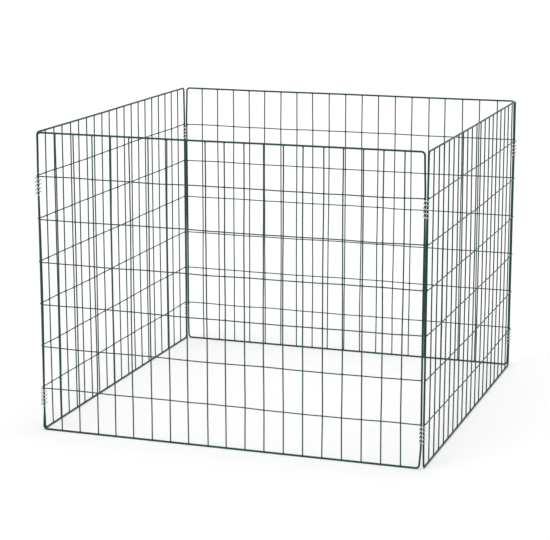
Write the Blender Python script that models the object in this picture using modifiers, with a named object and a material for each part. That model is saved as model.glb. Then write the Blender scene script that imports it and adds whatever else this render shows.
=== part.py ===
"""A square wire compost bin: four welded mesh panels of green plastic-coated wire, joined at the
corners by galvanised spiral clips that also serve as hinges.

Metres, +Z up. The origin is on the ground at the centre of the bin, and the front faces -Y.
"""

from math import atan2, cos, hypot, pi, radians, sin

import bmesh
import bpy
from mathutils import Vector

# Driving sizes of a panel
panel_width = 0.905  # over the outsides of the two side rails
panel_height = 0.700
frame_wire = 0.0044  # diameter over the plastic coat
upright_wire = 0.0030
cross_wire = 0.0027
bend_radius = 0.008  # of the frame's corners, to the middle of the wire
columns = 20
cross_wire_count = 6
lowest_cross_wire = 0.1016  # height above the ground
top_row = 0.1016  # from the highest cross wire to the top of the panel
cross_wire_overhang = 0.0004  # past the middle of each side rail

# Driving sizes of a spiral clip
clip_wire = 0.0024
clip_pitch = 0.009
clip_turns = 4.5

# Clearances
clearance = 0.0003  # between pieces that touch
upright_clearance = 0.0005  # between the uprights and the cross wires that lie over them
folded_gap = 0.0007  # between two frames that are folded face to face

# How finely round shapes are cut
tube_sides = 8
clip_sides = 6
bend_steps = 5
points_per_turn = 10

# A tube drawn round its wire: the middles of its flats lie on the wire's surface
circumscribed = 1 / cos(pi / tube_sides)
flat_side_out = pi / tube_sides

# Places of the wires across a panel, from the plane through the middle of its frame, outwards
cross_wire_offset = frame_wire / 2 + clearance + cross_wire / 2
upright_offset = cross_wire_offset - cross_wire / 2 - upright_clearance - upright_wire / 2

# The plan. At each corner the far side rail of one panel is the pivot, and the first side rail of
# the next panel turns about it, side by side with it. The lap lets the two frames fold face to
# face, and the set-back clears the ends of the cross wires when the panels open out flat
lap = frame_wire + folded_gap
set_back = frame_wire / 2 + clearance + cross_wire_overhang
rail_spacing = panel_width - frame_wire
panel_to_centre = (rail_spacing + set_back + lap) / 2
column_width = rail_spacing / columns

# Heights
bottom_rail = frame_wire / 2
top_rail = panel_height - frame_wire / 2
highest_cross_wire = panel_height - top_row
row_height = (highest_cross_wire - lowest_cross_wire) / (cross_wire_count - 1)

# The spiral runs round both side rails, midway between them, and clear of both as they turn
rails_reach = hypot(lap, set_back) / 2 + circumscribed * frame_wire / 2
clip_turn = atan2(set_back, lap)
clip_radius = (rails_reach + clearance + clip_wire / 2) / cos(pi / points_per_turn)
clip_below_wire = cross_wire / 2 * circumscribed + clearance + clip_wire / 2

green_coat = (0.005, 0.047, 0.033)
zinc = (0.62, 0.63, 0.63)


def clear_scene():
    for obj in list(bpy.data.objects):
        bpy.data.objects.remove(obj)


def new_collection(name):
    collection = bpy.data.collections.new(name)
    bpy.context.scene.collection.children.link(collection)
    return collection


def new_material(name, colour, metallic, roughness):
    material = bpy.data.materials.new(name)
    material.use_nodes = True
    shader = material.node_tree.nodes["Principled BSDF"]
    shader.inputs["Base Color"].default_value = (*colour, 1)
    shader.inputs["Metallic"].default_value = metallic
    shader.inputs["Roughness"].default_value = roughness
    material.diffuse_color = (*colour, 1)
    return material


def wire_mesh(name, points, diameter, sides, closed=False, tilt=0.0):
    """A wire bent through the points, as a mesh whose end caps are welded on."""
    curve = bpy.data.curves.new(name, "CURVE")
    curve.dimensions = "3D"
    curve.bevel_depth = diameter / 2
    curve.bevel_resolution = sides // 2 - 2
    curve.use_fill_caps = not closed
    spline = curve.splines.new("POLY")
    spline.points.add(len(points) - 1)
    for spline_point, place in zip(spline.points, points):
        spline_point.co = (*place, 1)
        spline_point.tilt = tilt
    spline.use_cyclic_u = closed
    wire = bpy.data.objects.new(name, curve)
    bpy.context.scene.collection.objects.link(wire)
    mesh = evaluated_mesh(wire)
    mesh.name = name
    bpy.data.objects.remove(wire)
    bpy.data.curves.remove(curve)
    welded = bmesh.new()
    welded.from_mesh(mesh)
    bmesh.ops.remove_doubles(welded, verts=welded.verts, dist=1e-6)
    bmesh.ops.recalc_face_normals(welded, faces=welded.faces)
    welded.to_mesh(mesh)
    welded.free()
    return mesh


def evaluated_mesh(obj):
    graph = bpy.context.evaluated_depsgraph_get()
    return bpy.data.meshes.new_from_object(obj.evaluated_get(graph), depsgraph=graph)


def round_off(mesh, material, sharpest=50):
    mesh.materials.clear()
    mesh.materials.append(material)
    mesh.shade_smooth()
    mesh.set_sharp_from_angle(angle=radians(sharpest))


def bend_points(centre_x, centre_z, start):
    """A quarter bend of the frame, with a straight lead a wire's width long at each end."""
    centre = Vector((centre_x, 0, centre_z))
    angles = [start + step * pi / 2 / bend_steps for step in range(bend_steps + 1)]
    rim = [centre + bend_radius * Vector((cos(angle), 0, sin(angle))) for angle in angles]
    lead_in = frame_wire * Vector((sin(start), 0, -cos(start)))
    lead_out = frame_wire * Vector((-cos(start), 0, -sin(start)))
    return [rim[0] + lead_in, *rim, rim[-1] + lead_out]


def border_points():
    """The loop of the frame. Its long rails have a point midway between each two uprights."""
    left = bend_radius
    right = rail_spacing - bend_radius
    low = bottom_rail + bend_radius
    high = top_rail - bend_radius
    midways = [(number + 0.5) * column_width for number in range(columns)]
    return [
        *bend_points(right, high, 0),
        *(Vector((x, 0, top_rail)) for x in reversed(midways)),
        *bend_points(left, high, pi / 2),
        *bend_points(left, low, pi),
        *(Vector((x, 0, bottom_rail)) for x in midways),
        *bend_points(right, low, 3 * pi / 2),
    ]


def panel_frame_mesh():
    """A border frame with its uprights welded in. Its first side rail stands on the origin, it
    runs along +x, and its outer side is towards -y."""
    border = bpy.data.objects.new(
        "border",
        wire_mesh(
            "border",
            border_points(),
            circumscribed * frame_wire,
            tube_sides,
            closed=True,
            tilt=flat_side_out,
        ),
    )
    uprights = bpy.data.objects.new(
        "uprights",
        wire_mesh(
            "uprights",
            [
                (column_width, -upright_offset, bottom_rail),
                (column_width, -upright_offset, top_rail),
            ],
            circumscribed * upright_wire,
            tube_sides,
            tilt=flat_side_out,
        ),
    )
    for helper in (border, uprights):
        helpers.objects.link(helper)
        helper.hide_render = True
        helper.display_type = "WIRE"
    spread = uprights.modifiers.new("columns", "ARRAY")
    spread.use_relative_offset = False
    spread.use_constant_offset = True
    spread.constant_offset_displace = (column_width, 0, 0)
    spread.count = columns - 1
    weld = border.modifiers.new("welds", "BOOLEAN")
    weld.operation = "UNION"
    weld.solver = "EXACT"
    weld.object = uprights
    mesh = evaluated_mesh(border)
    mesh.name = "panel_frame"
    bpy.data.objects.remove(border)
    bpy.data.objects.remove(uprights)
    return mesh


def cross_wire_mesh():
    """A straight wire from side rail to side rail, at the height 0."""
    ends = (-cross_wire_overhang, rail_spacing + cross_wire_overhang)
    return wire_mesh(
        "cross_wire",
        [(x, -cross_wire_offset, 0) for x in ends],
        circumscribed * cross_wire,
        tube_sides,
        tilt=flat_side_out,
    )


def clip_points():
    """A left-handed spiral round the origin, running down from the height 0.

    Two rails lie in it on opposite sides, at -90 and 90 degrees, where it runs closest to them.
    It starts beside the second of them and passes round the outside of the corner first.
    """
    steps = round(clip_turns * points_per_turn)
    turn = 2 * pi / points_per_turn
    start = pi / 2 + turn / 2
    return [
        Vector(
            (
                clip_radius * cos(start + step * turn),
                clip_radius * sin(start + step * turn),
                -clip_pitch * step / points_per_turn,
            )
        )
        for step in range(steps + 1)
    ]


def print_least_gap(points):
    """The least distance between the surfaces of two turns."""
    half_turn = points_per_turn // 2
    gap = min(
        (later - earlier).length - clip_wire
        for number, earlier in enumerate(points)
        for later in points[number + half_turn :]
    )
    print(f"spiral clip: least gap between its turns {1000 * gap:.2f} mm")


def place(mesh, name, pivot, location, turn=0.0):
    """A piece of the bin, carried by the empty on its pivot."""
    piece = bpy.data.objects.new(name, mesh)
    compost_bin.objects.link(piece)
    piece.parent = pivot
    piece.location = location
    piece.rotation_euler.z = turn
    return piece


def new_pivot(name, x, y, turn):
    pivot = bpy.data.objects.new(name, None)
    pivot.empty_display_type = "SINGLE_ARROW"
    pivot.empty_display_size = 0.1
    compost_bin.objects.link(pivot)
    pivot.location = (x, y, 0)
    pivot.rotation_euler.z = turn
    return pivot


def add_panel(name, pivot, start):
    """A panel that runs along its pivot's x axis, with its first side rail at the start."""
    along, out = start
    place(frame_mesh, f"{name}_frame", pivot, (along, out, 0))
    for number in range(cross_wire_count):
        height = lowest_cross_wire + number * row_height
        place(
            wire_across,
            f"{name}_cross_wire_{number + 1}",
            pivot,
            (along, out, height),
        )


def add_clips(corner, pivot, start):
    """The two clips on the first side rail of a panel, each just under a cross wire."""
    along, out = start
    for level, wire in (("top", highest_cross_wire), ("bottom", lowest_cross_wire)):
        place(
            clip_mesh,
            f"{corner}_{level}_clip",
            pivot,
            (along - set_back / 2, out + lap / 2, wire - clip_below_wire),
            clip_turn,
        )


clear_scene()
compost_bin = new_collection("compost_bin")
helpers = new_collection("helpers")

coated_wire = new_material("green_coated_wire", green_coat, 0.0, 0.35)
galvanised_wire = new_material("galvanised_wire", zinc, 1.0, 0.3)

frame_mesh = panel_frame_mesh()
wire_across = cross_wire_mesh()
spiral = clip_points()
clip_mesh = wire_mesh("spiral_clip", spiral, clip_wire, clip_sides)
print_least_gap(spiral)
round_off(frame_mesh, coated_wire)
round_off(wire_across, coated_wire)
round_off(clip_mesh, galvanised_wire, sharpest=65)

# Each empty stands on a pivot and looks along the panel that it carries
near, far = panel_to_centre - lap, panel_to_centre
back_place = new_pivot("back_panel_place", far, near, pi)
left_hinge = new_pivot("left_hinge", -near, far, -pi / 2)
front_hinge = new_pivot("front_hinge", -far, -near, 0)
right_hinge = new_pivot("right_hinge", far, near, pi / 2)

# A panel's first side rail, from its own first pivot and from its far one
from_first = (set_back, -lap)
from_far = (-rail_spacing, 0)

add_panel("back_panel", back_place, from_first)
add_panel("left_panel", left_hinge, from_first)
add_panel("front_panel", front_hinge, from_first)
add_panel("right_panel", right_hinge, from_far)

add_clips("back_right", back_place, from_first)
add_clips("back_left", left_hinge, from_first)
add_clips("front_left", front_hinge, from_first)
add_clips("front_right", right_hinge, from_far)
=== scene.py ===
"""A square wire compost bin: four hinged panels of green coated mesh, joined by spiral clips.

Metres, +Z up. The bin stands on the ground round the origin, and its front faces -Y.
"""

import random
from math import atan2, cos, pi, radians, sin

import bpy
from mathutils import Euler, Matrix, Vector, noise


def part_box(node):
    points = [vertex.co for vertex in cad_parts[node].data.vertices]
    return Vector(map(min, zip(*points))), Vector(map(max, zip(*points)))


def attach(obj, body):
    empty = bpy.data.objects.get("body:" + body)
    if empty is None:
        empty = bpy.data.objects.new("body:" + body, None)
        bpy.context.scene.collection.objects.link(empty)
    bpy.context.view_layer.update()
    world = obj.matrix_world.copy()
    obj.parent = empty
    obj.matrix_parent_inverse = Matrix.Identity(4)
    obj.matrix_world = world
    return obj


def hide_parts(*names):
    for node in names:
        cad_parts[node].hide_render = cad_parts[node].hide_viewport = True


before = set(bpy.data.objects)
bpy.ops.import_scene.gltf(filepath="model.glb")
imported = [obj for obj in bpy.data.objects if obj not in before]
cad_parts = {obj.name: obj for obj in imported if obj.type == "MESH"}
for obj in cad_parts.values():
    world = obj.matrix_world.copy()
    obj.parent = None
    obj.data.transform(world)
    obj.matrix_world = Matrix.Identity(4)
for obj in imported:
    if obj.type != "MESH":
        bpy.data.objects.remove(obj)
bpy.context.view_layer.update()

# Wires, over the plastic coat
border_radius = 0.0022
upright_radius = 0.0015
cross_wire_radius = 0.00135
bend_radius = 0.008
columns = 20
cross_wires = 6

# How far outwards the wires lie from the middle of the border, pressed together at the welds
upright_out = 0.0009
cross_wire_out = 0.0032

# Weld beads, by half of their size along the panel, outwards and up
rail_bead = (0.0026, 0.0020, 0.0023)  # of an upright on the bottom or top rail
crossing_bead = (0.0027, 0.0016, 0.0026)  # of a cross wire on an upright
side_bead = (0.0016, 0.0012, 0.0023)  # of a cross wire on a side rail
bead_scale = (0.92, 1.12)  # the least and the most of that size
rail_bead_out, rail_bead_inset = 0.0006, 0.0013  # from the middle of the rail
side_bead_out, side_bead_inset = 0.0023, 0.0014

# The spiral clips
clip_wire_radius = 0.0012
clip_turns = 4.5
clip_pitch = 0.009
clip_clearance = 0.0002
clip_lead = radians(18)  # past the neighbour's rail, where a spiral starts
clip_length = clip_pitch * clip_turns + 3 * clip_wire_radius  # with a little room
clip_looseness = 0.00015  # of its radius
clip_unevenness = 0.03  # of its rise, in turns
clip_wavelengths = (1.3, 1.1)  # of these two, in turns

# How much the wires give, and the lengths of their slow and their quick waves
wander_gain = 1.6
bulge = 0.0018  # of a panel's middle, outwards
rail_bulge_share = 0.25  # of that, at the bottom and top rails
panel_wave = 0.0006
panel_wavelengths = (0.21, 0.33)  # along the panel and up
top_rail_dip = 0.0005
top_rail_wavelength = 0.3
upright_sway = 0.0010
upright_wavelengths = (0.31, 0.085)
upright_quick_share = 0.35
upright_fade = 0.12  # from its ends, over which the sway grows
upright_lean = 0.0022  # at most, of either end
cross_wire_wave = 0.0013
cross_wire_wavelengths = (0.23, 0.07)
cross_wire_quick_share = 0.45
cross_wire_fade = 0.09
cross_wire_sag = 0.0008

# How far a side rail stands back from its neighbour
wide_slack, slight_slack = 0.0022, 0.0006  # midway between its clips
wide_splay, slight_splay = 0.0022, 0.0007  # at its head
wide_foot_splay, foot_splay, foot_swing = 0.0032, 0.0010, 0.0024  # at its foot

# How finely round shapes are cut
border_sides = 16
mesh_sides = 12
clip_sides = 14
bead_segments, bead_rings = 10, 6
ring_spacing = 0.012
bend_steps = 9
clip_steps_per_turn = 36
dome_angles = (radians(30), radians(60))  # of the rings of a domed end of a wire
cut_bevel = 0.20  # of a cut end, as a share of its radius

# The coat where it is fresh, faded and worn. The border's copy is darker than the thin wires' as
# painted shade; the thin wires show the coat's own greens.
shaded_border_greens = ((0.0018, 0.0390, 0.0310), (0.0046, 0.0560, 0.0460), (0.0100, 0.0770, 0.0650))
mesh_greens = ((0.0150, 0.0490, 0.0430), (0.0260, 0.0700, 0.0630), (0.0430, 0.0980, 0.0890))
worn_share = 0.35
# A lighter grey-green on upward faces: partly dust, partly a painted highlight of the light from
# above
dust_and_highlight_colour, dust_and_highlight_share = (0.200, 0.250, 0.220), 0.18

# The zinc of the clips
dull_zinc, bright_zinc = (0.42, 0.43, 0.44), (0.62, 0.625, 0.62)
bloom_colour, bloom_share = (0.60, 0.60, 0.58), 0.6
line_colour, line_share = (0.26, 0.27, 0.28), 0.35
lines_along, lines_around = 30.0, 9.0

# The floor and the light
white = (1.0, 1.0, 1.0)
floor_reach = 60.0
floor_colour = (0.86, 0.86, 0.86)
floor_lift = 0.13  # light of the floor's own, where the camera sees it
world_light = 0.50

# The camera, fitted to the photograph
lens = 120.03
eye = (1.3777, -4.1600, 1.2771)
looking_down, looking_left = 12.337, 18.822  # in degrees


class Value:
    """A socket whose number varies over a surface. Arithmetic on it adds Math nodes."""

    def __init__(self, finish, socket):
        self.finish = finish
        self.socket = socket

    def math(self, operation, other):
        return self.finish.add("ShaderNodeMath", {"operation": operation}, {0: self, 1: other})

    def __add__(self, other):
        return self.math("ADD", other)

    def __mul__(self, other):
        return self.math("MULTIPLY", other)

    def __rsub__(self, other):
        return self.finish.add("ShaderNodeMath", {"operation": "SUBTRACT"}, {0: other, 1: self})

    __radd__, __rmul__ = __add__, __mul__

    def between(self, low, high):
        """0 below low, 1 above high and smooth between them."""
        return self.finish.add(
            "ShaderNodeMapRange",
            {"interpolation_type": "SMOOTHSTEP"},
            {"Value": self, "From Min": low, "From Max": high},
        )


class Finish:
    """A material that is built up node by node, and the record's slot that it shows."""

    def __init__(self, name, slot=None):
        self.slot = slot
        self.material = bpy.data.materials.new(name)
        self.material.use_nodes = True
        self.tree = self.material.node_tree
        self.shader = self.tree.nodes["Principled BSDF"]

    def add(self, kind, settings=None, values=None, output=0):
        """A node with its settings and the values or links of its sockets. Returns an output."""
        node = self.tree.nodes.new(kind)
        for name, setting in (settings or {}).items():
            setattr(node, name, setting)
        for name, value in (values or {}).items():
            self.feed(node.inputs[name], value)
        return Value(self, node.outputs[output])

    def feed(self, socket, value):
        """Links a socket, or sets it to a colour or a number."""
        if isinstance(value, Value):
            self.tree.links.new(value.socket, socket)
        elif isinstance(value, tuple):
            socket.default_value = (*value, 1)
        else:
            socket.default_value = value

    def mix(self, factor, colour, other):
        """One colour where the factor is 0 and the other where it is 1."""
        values = {0: factor, 6: colour, 7: other}
        return self.add("ShaderNodeMix", {"data_type": "RGBA"}, values, 2)

    def noise(self, place, scale, detail=2.0):
        """A cloudy pattern between 0 and 1."""
        values = {"Vector": place, "Scale": scale, "Detail": detail}
        return self.add("ShaderNodeTexNoise", None, values)

    def set(self, **values):
        """Sets or links sockets of the shader. An underscore stands for a space."""
        for name, value in values.items():
            self.feed(self.shader.inputs[name.replace("_", " ")], value)


def coated_wire_finish(name, greens):
    """Smooth green plastic over steel: softly glossy, a little uneven, and lighter on top, from
    dust and a painted highlight of the light above.
    """
    fresh, faded, worn = greens
    coat = Finish(name, "green_coated_wire")
    place = coat.add("ShaderNodeTexCoord", output="Object")
    fading = coat.noise(place, scale=5.0).between(0.35, 0.68)
    mottling = coat.noise(place, scale=140.0, detail=3.0)
    facing = coat.add("ShaderNodeNewGeometry", output="Normal")
    upward = coat.add("ShaderNodeSeparateXYZ", None, {0: facing}, "Z")
    # Lighter on upward faces: patchy dust, and a painted highlight where the light from above falls
    dust_and_top_highlight = upward.between(0.1, 0.95) * coat.noise(place, scale=45.0, detail=4.0).between(0.38, 0.72)
    green = coat.mix(fading, fresh, faded)
    green = coat.mix(mottling.between(0.35, 0.75) * worn_share, green, worn)
    green = coat.mix(dust_and_top_highlight * dust_and_highlight_share, green, dust_and_highlight_colour)
    peel = coat.noise(place, scale=900.0)
    swell = coat.noise(place, scale=190.0, detail=1.0)
    coat.set(
        Base_Color=green,
        Roughness=0.30 + fading * 0.10 + dust_and_top_highlight * 0.25 + mottling * 0.08,
        Specular_IOR_Level=0.22,
        Normal=coat.add(
            "ShaderNodeBump",
            None,
            {"Strength": 0.35, "Distance": 0.0004, "Height": peel * 0.25 + swell},
        ),
    )
    return coat


def galvanised_finish():
    """Zinc-coated spring wire: bright, with drawing lines along it and duller patches."""
    zinc = Finish("zinc_on_spring_wire", "galvanised_wire")
    place = zinc.add("ShaderNodeTexCoord", output="Object")
    along = zinc.add("ShaderNodeAttribute", {"attribute_name": "along"}, None, "Fac")
    around = zinc.add("ShaderNodeAttribute", {"attribute_name": "around"}, None, "Fac")
    spread = zinc.add(
        "ShaderNodeCombineXYZ", None, {0: along * lines_along, 1: around * lines_around}
    )
    lines = zinc.noise(spread, scale=3.0, detail=3.0)
    clouds = zinc.noise(place, scale=260.0, detail=3.0)
    bloom = zinc.noise(place, scale=110.0, detail=4.0).between(0.55, 0.72)
    grey = zinc.mix(clouds.between(0.3, 0.7), dull_zinc, bright_zinc)
    grey = zinc.mix(bloom * bloom_share, grey, bloom_colour)
    grey = zinc.mix(lines.between(0.60, 0.78) * line_share, grey, line_colour)
    zinc.set(
        Base_Color=grey,
        Metallic=1.0 - bloom * 0.55,
        Roughness=0.26 + clouds * 0.16 + bloom * 0.22,
        Normal=zinc.add(
            "ShaderNodeBump",
            None,
            {"Strength": 0.30, "Distance": 0.0003, "Height": lines + clouds * 0.4},
        ),
    )
    return zinc


class Wires:
    """Round wires and weld beads that make up one piece.

    For the finish, each point keeps how far along its wire it is, and how far around it, from 0
    to a half and back.
    """

    mean_around = 0.25

    def __init__(self):
        self.points = []
        self.faces = []
        self.along = []
        self.around = []

    def ring(self, centre, across, beyond, radius, sides, along):
        """A ring of points round a centre. Returns the number of its first point."""
        first = len(self.points)
        for side in range(sides):
            angle = 2 * pi * side / sides
            self.points.append(centre + radius * (cos(angle) * across + sin(angle) * beyond))
            self.along.append(along)
            self.around.append(min(side, sides - side) / sides)
        return first

    def skin(self, first, second, sides):
        """Faces between two rings."""
        for side in range(sides):
            after = (side + 1) % sides
            self.faces.append((first + side, first + after, second + after, second + side))

    def cap(self, ring, centre, sides, along, at_end):
        """Closes a ring with triangles to a point in its middle."""
        middle = len(self.points)
        self.points.append(centre)
        self.along.append(along)
        self.around.append(self.mean_around)
        for side in range(sides):
            pair = (ring + side, ring + (side + 1) % sides)
            self.faces.append((*pair, middle) if at_end else (*reversed(pair), middle))

    def wire(self, path, radius, sides, closed=False, rounded=True):
        """A round wire along the path. Its ends are domes of coat, or cut flat."""
        count = len(path)
        ahead = []
        for number, place in enumerate(path):
            before = path[number - 1] if closed or number else place
            after = path[(number + 1) % count] if closed or number + 1 < count else place
            ahead.append((after - before).normalized())
        across = ahead[0].orthogonal().normalized()
        axes = []
        for number, direction in enumerate(ahead):
            if number:
                across = (ahead[number - 1].rotation_difference(direction) @ across).normalized()
            axes.append((across, direction.cross(across)))
        far = 0.0
        rings = []
        if not closed:
            end = self.end_rings(path[0], -ahead[0], axes[0], radius, sides, far, rounded)
            rings += reversed(end)
        for number, place in enumerate(path):
            if number:
                far += (place - path[number - 1]).length
            rings.append(self.ring(place, *axes[number], radius, sides, far))
        if not closed:
            rings += self.end_rings(path[-1], ahead[-1], axes[-1], radius, sides, far, rounded)
        for first, second in zip(rings, rings[1:]):
            self.skin(first, second, sides)
        if closed:
            self.skin(rings[-1], rings[0], sides)
            return
        reach = radius if rounded else cut_bevel * radius
        self.cap(rings[0], path[0] - ahead[0] * reach, sides, 0.0, False)
        self.cap(rings[-1], path[-1] + ahead[-1] * reach, sides, far, True)

    def end_rings(self, centre, outward, axes, radius, sides, along, rounded):
        """The rings of a domed end, or of the small bevel of a cut one."""
        if rounded:
            steps = [(cos(angle), sin(angle)) for angle in dome_angles]
        else:
            steps = [(1 - cut_bevel, cut_bevel)]
        return [
            self.ring(centre + outward * radius * out, *axes, radius * narrow, sides, along)
            for narrow, out in steps
        ]

    def bead(self, centre, axes, sizes):
        """A flattened ball of weld metal and coat."""
        (across, outward, up), (wide, deep, high) = axes, sizes
        start = len(self.points)
        levels = [pi * level / bead_rings for level in range(1, bead_rings)]
        for level in levels:
            for segment in range(bead_segments):
                angle = 2 * pi * segment / bead_segments
                self.points.append(
                    centre
                    + across * wide * sin(level) * cos(angle)
                    + up * high * sin(level) * sin(angle)
                    + outward * deep * cos(level)
                )
        self.points += [centre + outward * deep, centre - outward * deep]
        near, away = len(self.points) - 2, len(self.points) - 1
        last = start + (len(levels) - 1) * bead_segments
        for base in range(start, last, bead_segments):
            beyond = base + bead_segments
            for segment in range(bead_segments):
                after = (segment + 1) % bead_segments
                self.faces.append((base + segment, beyond + segment, beyond + after, base + after))
        for segment in range(bead_segments):
            after = (segment + 1) % bead_segments
            self.faces.append((near, start + segment, start + after))
            self.faces.append((away, last + after, last + segment))
        self.along += [0.0] * (len(self.points) - start)
        self.around += [self.mean_around] * (len(self.points) - start)

    def piece(self, name, finish, body, nodes, crease=60):
        """Makes the piece, which rides on a body and stands for the nodes of the CAD model.

        Edges that turn by more degrees than the crease stay sharp.
        """
        mesh = bpy.data.meshes.new(name)
        mesh.from_pydata(self.points, [], self.faces)
        mesh.materials.append(finish.material)
        for label, numbers in (("along", self.along), ("around", self.around)):
            mesh.attributes.new(label, "FLOAT", "POINT").data.foreach_set("value", numbers)
        mesh.shade_smooth()
        mesh.set_sharp_from_angle(angle=radians(crease))
        piece = bpy.data.objects.new(name, mesh)
        bpy.context.scene.collection.objects.link(piece)
        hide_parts(*nodes)
        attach(piece, body)


def smooth_step(low, high, value):
    """0 at low, 1 at high and smooth between them. Low may be the greater of the two."""
    share = min(max((value - low) / (high - low), 0.0), 1.0)
    return share * share * (3 - 2 * share)


def arch(share):
    """0 at either end and 1 halfway."""
    return sin(pi * min(max(share, 0.0), 1.0))


def wander(distance, wavelength, seed):
    """A smooth random curve between about -1 and 1. Each seed has its own line of the noise."""
    place = Vector((distance / wavelength, 7.3 * seed + 0.5, 1.7 * seed))
    return wander_gain * noise.noise(place)


class Panel:
    """A welded panel, in its own measures: along it from its first side rail, outwards and up."""

    def __init__(self, name, turn, seed, heads, middles, feet):
        """Heads, middles and feet say how far its first and its far side rail stand back there."""
        self.name = name
        self.seed = seed
        self.heads, self.middles, self.feet = heads, middles, feet
        self.along = Vector((round(cos(turn)), round(sin(turn)), 0))
        self.out = Vector((self.along.y, -self.along.x, 0))
        self.axes = (self.along, self.out, Vector((0, 0, 1)))
        low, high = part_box(f"{name}_frame")
        self.width = abs((high - low).dot(self.along)) - 2 * border_radius
        self.origin = (low + high) / 2 - self.along * self.width / 2
        self.origin.z = 0
        self.bottom = low.z + border_radius
        self.top = high.z - border_radius
        self.heights = []
        for number in range(1, cross_wires + 1):
            low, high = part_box(f"{name}_cross_wire_{number}")
            self.heights.append((low.z + high.z) / 2)
        self.overhang = (abs((high - low).dot(self.along)) - self.width) / 2
        chance = random.Random(seed + 60)
        self.leans = [
            tuple(upright_lean * chance.uniform(-1, 1) * chance.random() for _ in range(2))
            for _ in range(columns + 1)
        ]
        self.bead_chance = random.Random(seed)

    def place(self, along, out, up):
        """A point of the panel, which bulges a little in its middle."""
        share = along / self.width
        rise = rail_bulge_share + (1 - rail_bulge_share) * arch(up / self.top)
        wave_along, wave_up = panel_wavelengths
        waves = wander(along, wave_along, self.seed + 40) * wander(up, wave_up, self.seed + 41)
        give = arch(share) * bulge * rise + panel_wave * waves * 4 * max(0.0, share * (1 - share))
        return self.origin + self.along * along + self.out * (out + give) + Vector((0, 0, up))

    def rail_give(self, rail, up):
        """How far a side rail stands back from its neighbour, except where a clip holds it."""
        low, high = self.heights[0], self.heights[-1] - clip_length
        head = self.heads[rail] * smooth_step(self.heights[-1], self.top, up)
        middle = self.middles[rail] * arch((up - low) / (high - low))
        return head + middle + self.feet[rail] * smooth_step(low - clip_length, self.bottom, up)

    def top_at(self, along):
        """The height of the top rail, which dips a little between its corners."""
        waves = 1 + wander(along, top_rail_wavelength, self.seed + 20)
        return self.top - max(0.0, top_rail_dip * waves * arch(along / self.width))

    def upright_at(self, number, up):
        """How far along the panel an upright stands at a height."""
        from_foot = smooth_step(self.bottom, upright_fade, up)
        from_head = smooth_step(self.top, self.top - upright_fade, up)
        seed = self.seed * 50 + number
        slow_length, quick_length = upright_wavelengths
        slow = wander(up, slow_length, seed)
        quick = upright_quick_share * wander(up, quick_length, seed + 0.31)
        sway = upright_sway * from_foot * from_head * (slow + quick)
        at_foot, at_head = self.leans[number]
        lean = at_foot + (at_head - at_foot) * up / self.top
        return number * self.width / columns + sway + lean

    def cross_wire_at(self, number, along):
        """The height of a cross wire at a place along the panel."""
        from_first = smooth_step(0, cross_wire_fade, along)
        from_far = smooth_step(self.width, self.width - cross_wire_fade, along)
        seed = self.seed * 70 + number
        slow_length, quick_length = cross_wire_wavelengths
        slow = wander(along, slow_length, seed)
        quick = cross_wire_quick_share * wander(along, quick_length, seed + 0.57)
        waves = cross_wire_wave * from_first * from_far * (slow + quick)
        return self.heights[number] + waves - cross_wire_sag * arch(along / self.width)

    def border_path(self):
        """The middle of the border wire, once round."""
        left, right = bend_radius, self.width - bend_radius
        low, high = self.bottom + bend_radius, self.top - bend_radius

        def bend(centre_along, centre_up, start):
            angles = [start + step * pi / 2 / bend_steps for step in range(bend_steps + 1)]
            return [
                (centre_along + bend_radius * cos(angle), centre_up + bend_radius * sin(angle))
                for angle in angles
            ]

        def between(first, last):
            count = max(2, round(abs(last - first) / ring_spacing))
            return [first + (last - first) * step / count for step in range(1, count)]

        flat = [
            *bend(right, high, 0),
            *((along, self.top) for along in between(right, left)),
            *bend(left, high, pi / 2),
            *((0, up) for up in between(high, low)),
            *bend(left, low, pi),
            *((along, self.bottom) for along in between(left, right)),
            *bend(right, low, 3 * pi / 2),
            *((self.width, up) for up in between(low, high)),
        ]
        side_reach = bend_radius + ring_spacing / 2  # takes in a side rail, its bends and no more
        path = []
        for along, up in flat:
            if along > self.width - side_reach:
                along -= self.rail_give(1, up)
            elif along < side_reach:
                along += self.rail_give(0, up)
            elif up > self.top / 2:
                up -= self.top - self.top_at(along)
            path.append(self.place(along, 0.0, up))
        return path

    def weld(self, wires, along, out, up, bead):
        """Adds a weld bead at a point of the panel. No two have quite the same size."""
        sizes = [part * self.bead_chance.uniform(*bead_scale) for part in bead]
        wires.bead(self.place(along, out, up), self.axes, sizes)

    def build(self, border_finish, mesh_finish):
        """Makes the border, the uprights and the cross wires."""
        border = Wires()
        border.wire(self.border_path(), border_radius, border_sides, closed=True)
        border.piece(f"{self.name}_border", border_finish, self.name, [f"{self.name}_frame"])
        uprights = Wires()
        for number in range(1, columns):
            self.add_upright(uprights, number)
        uprights.piece(f"{self.name}_uprights", mesh_finish, self.name, [f"{self.name}_frame"])
        for level in range(cross_wires):
            cross_wire = Wires()
            self.add_cross_wire(cross_wire, level)
            name = f"{self.name}_cross_wire_{level + 1}"
            cross_wire.piece(f"{name}_welded", mesh_finish, self.name, [name])

    def add_upright(self, wires, number):
        """An upright, welded to the bottom and the top rail."""
        steps = round((self.top - self.bottom) / ring_spacing)
        path = []
        for step in range(steps + 1):
            up = self.bottom + (self.top - self.bottom) * step / steps
            if step == steps:
                up = self.top_at(self.upright_at(number, up))
            path.append(self.place(self.upright_at(number, up), upright_out, up))
        wires.wire(path, upright_radius, mesh_sides)
        for rail, inwards in ((self.bottom, 1), (self.top, -1)):
            along = self.upright_at(number, rail)
            height = rail if inwards > 0 else self.top_at(along)
            self.weld(wires, along, rail_bead_out, height + inwards * rail_bead_inset, rail_bead)

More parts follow.
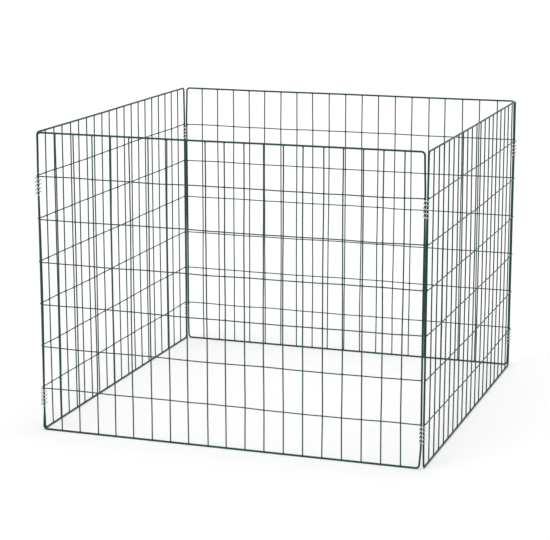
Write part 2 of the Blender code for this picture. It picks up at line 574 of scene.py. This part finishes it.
    def add_cross_wire(self, wires, level):
        """A cross wire, welded to the uprights and the side rails."""
        steps = round(self.width / ring_spacing)
        start = cross_wire_radius - self.overhang
        end = self.width - start
        path = []
        for step in range(steps + 1):
            along = start + (end - start) * step / steps
            path.append(self.place(along, cross_wire_out, self.cross_wire_at(level, along)))
        wires.wire(path, cross_wire_radius, mesh_sides)
        bead_out = (upright_out + cross_wire_out) / 2
        for number in range(1, columns):
            along = self.upright_at(number, self.heights[level])
            self.weld(wires, along, bead_out, self.cross_wire_at(level, along), crossing_bead)
        for along in (side_bead_inset, self.width - side_bead_inset):
            self.weld(wires, along, side_bead_out, self.cross_wire_at(level, along), side_bead)


def build_clip(node, panel, neighbour, finish, seed):
    """A left-handed spiral of spring wire, open at both ends.

    It is wound round the first side rail of a panel and the far side rail of its neighbour.
    """
    rail = panel.origin
    far_rail = neighbour.origin + neighbour.along * neighbour.width
    middle = (rail + far_rail) / 2
    apart = far_rail - middle
    radius = apart.length + border_radius + clip_clearance + clip_wire_radius
    start = atan2(apart.y, apart.x) + clip_lead
    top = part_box(node)[1].z - clip_wire_radius
    loose_length, uneven_length = clip_wavelengths
    path = []
    for step in range(round(clip_turns * clip_steps_per_turn) + 1):
        turned = step / clip_steps_per_turn
        angle = start + 2 * pi * turned
        reach = radius + clip_looseness * wander(turned, loose_length, seed)
        drop = clip_pitch * (turned + clip_unevenness * wander(turned, uneven_length, seed + 5))
        place = (middle.x + reach * cos(angle), middle.y + reach * sin(angle), top - drop)
        path.append(Vector(place))
    clip = Wires()
    clip.wire(path, clip_wire_radius, clip_sides, rounded=False)
    clip.piece(f"{node}_spiral", finish, panel.name, [node], crease=40)


# The border's coat is the darker copy, painted shade over the same green as the mesh coat
border_coat = coated_wire_finish("shaded_green_border_coat", shaded_border_greens)
mesh_coat = coated_wire_finish("green_mesh_coat", mesh_greens)
galvanised = galvanised_finish()

# At the front left the feet of the two side rails swing over, towards each other's side
front = Panel(
    "front_panel",
    turn=0.0,
    seed=1,
    heads=(slight_splay, wide_splay),
    middles=(wide_slack, slight_slack),
    feet=(-foot_swing, wide_foot_splay),
)
right = Panel(
    "right_panel",
    turn=pi / 2,
    seed=2,
    heads=(wide_splay, slight_splay),
    middles=(slight_slack, slight_slack),
    feet=(wide_foot_splay, foot_splay),
)
back = Panel(
    "back_panel",
    turn=pi,
    seed=3,
    heads=(slight_splay, wide_splay),
    middles=(slight_slack, slight_slack),
    feet=(foot_splay, foot_splay),
)
left = Panel(
    "left_panel",
    turn=-pi / 2,
    seed=4,
    heads=(wide_splay, slight_splay),
    middles=(slight_slack, slight_slack),
    feet=(foot_splay, foot_swing),
)
for panel in (front, right, back, left):
    panel.build(border_coat, mesh_coat)

# At each corner, the panel whose first side rail stands there, and its neighbour
corners = (
    ("back_right", back, right),
    ("back_left", left, back),
    ("front_left", front, left),
    ("front_right", right, front),
)
for number, (corner, panel, neighbour) in enumerate(corners):
    for level, seed in (("top", 11), ("bottom", 12)):
        build_clip(f"{corner}_{level}_clip", panel, neighbour, galvanised, seed + 2 * number)


class World(Finish):
    """The world, whose background is built up as a material is."""

    def __init__(self, name):
        self.material = bpy.data.worlds.new(name)
        self.material.use_nodes = True
        self.tree = self.material.node_tree
        self.shader = self.tree.nodes["Background"]


def seen_directly(finish):
    """1 for what the camera sees, also in gloss and through glass, and 0 for plain light."""
    path = "ShaderNodeLightPath"
    camera = finish.add(path, output="Is Camera Ray")
    glossy = finish.add(path, output="Is Glossy Ray")
    through = finish.add(path, output="Is Transmission Ray")
    return camera.math("MAXIMUM", glossy).math("MAXIMUM", through)


def white_stage():
    """A white floor that stays white to the camera and in gloss, but keeps shadows."""
    floor_mesh = bpy.data.meshes.new("floor")
    far = floor_reach
    edge = [(-far, -far, 0), (far, -far, 0), (far, far, 0), (-far, far, 0)]
    floor_mesh.from_pydata(edge, [], [(0, 1, 2, 3)])
    floor = bpy.data.objects.new("floor", floor_mesh)
    bpy.context.scene.collection.objects.link(floor)
    paper = Finish("white_floor")
    floor_mesh.materials.append(paper.material)
    seen = seen_directly(paper)
    paper.set(Base_Color=floor_colour, Roughness=0.9, Specular_IOR_Level=0.0)
    lit = Value(paper, paper.shader.outputs[0])
    lift = paper.add("ShaderNodeEmission", None, {"Color": white, "Strength": floor_lift})
    both = paper.add("ShaderNodeAddShader", None, {0: lit, 1: lift})
    shown = paper.add("ShaderNodeMixShader", None, {0: seen, 1: lit, 2: both})
    paper.feed(paper.tree.nodes["Material Output"].inputs["Surface"], shown)


def white_world():
    """Even light from all round. The camera sees it as plain white."""
    sky = World("white_studio")
    bpy.context.scene.world = sky.material
    sky.set(Color=white, Strength=world_light + seen_directly(sky) * (1.0 - world_light))


def soft_light(name, place, share, spread):
    """A distant lamp, which gives a white surface that faces it a share of its brightness."""
    lamp = bpy.data.lights.new(name, "SUN")
    lamp.energy = share * pi
    lamp.angle = radians(spread)
    holder = bpy.data.objects.new(name, lamp)
    holder.location = place
    holder.rotation_euler = (-Vector(place)).to_track_quat("-Z", "Y").to_euler()
    bpy.context.scene.collection.objects.link(holder)


white_stage()
white_world()
soft_light("key_light", (-2.2, -2.9, 3.3), share=0.30, spread=35)
soft_light("fill_light", (3.4, -2.0, 2.2), share=0.06, spread=60)
soft_light("top_light", (0.3, 0.8, 3.6), share=0.35, spread=45)

camera = bpy.data.cameras.new("camera")
camera.sensor_width = 36
camera.lens = lens
viewer = bpy.data.objects.new("camera", camera)
viewer.location = eye
viewer.rotation_euler = Euler((radians(90 - looking_down), 0, radians(looking_left)))
bpy.context.scene.collection.objects.link(viewer)
bpy.context.scene.camera = viewer
bpy.context.scene.view_settings.view_transform = "Standard"
